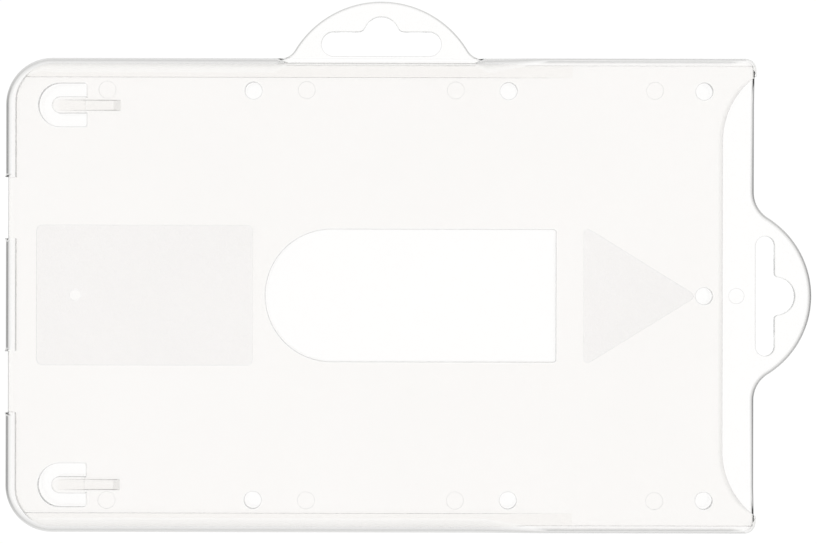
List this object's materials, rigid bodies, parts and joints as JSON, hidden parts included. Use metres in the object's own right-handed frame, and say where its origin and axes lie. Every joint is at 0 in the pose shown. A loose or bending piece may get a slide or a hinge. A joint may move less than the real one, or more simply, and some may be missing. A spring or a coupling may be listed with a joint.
{
  "type": "rigid card holder",
  "caption": "Flat rigid clear pocket for one identity card, with a thumb window, sprung fingers that steady the card, and a hanging slot on a long and a short side.",
  "frame": {"origin": "centre of the pocket body's outline on the back face; the lugs stand outside that outline", "axes": "+X along the card's long side towards the open end, +Y towards the long side's lug, +Z out of the front face"},
  "size_m": [0.0961, 0.0633, 0.0032],
  "materials": {
    "clear_polished": "clear polished styrene or polycarbonate",
    "clear_textured": "clear plastic with a fine mould texture"
  },
  "bodies": {
    "holder": {"back_plate": "clear_polished", "long_side_lug": "clear_polished", "short_side_lug": "clear_polished", "front_plate": "clear_textured", "end_wall_middle": "clear_polished", "upper_side_rail": "clear_polished", "end_wall_upper": "clear_polished", "upper_card_ledge": "clear_textured", "upper_lead_ramp": "clear_textured", "lower_side_rail": "clear_polished", "end_wall_lower": "clear_polished", "lower_card_ledge": "clear_textured", "lower_lead_ramp": "clear_textured"},
    "upper_finger": {"upper_finger": "clear_textured"},
    "lower_finger": {"lower_finger": "clear_textured"}
  },
  "joints": [
    {"name": "upper_finger_flex", "type": "hinge", "parent": "holder", "child": "upper_finger", "pos_m": [-0.03496, 0.02256, 0.0027], "axis": [0, 1, 0], "range_deg": [0, 6], "stiffness_Nm_per_rad": 0.28},
    {"name": "lower_finger_flex", "type": "hinge", "parent": "holder", "child": "lower_finger", "pos_m": [-0.03496, -0.02256, 0.0027], "axis": [0, 1, 0], "range_deg": [0, 6], "stiffness_Nm_per_rad": 0.28}
  ]
}
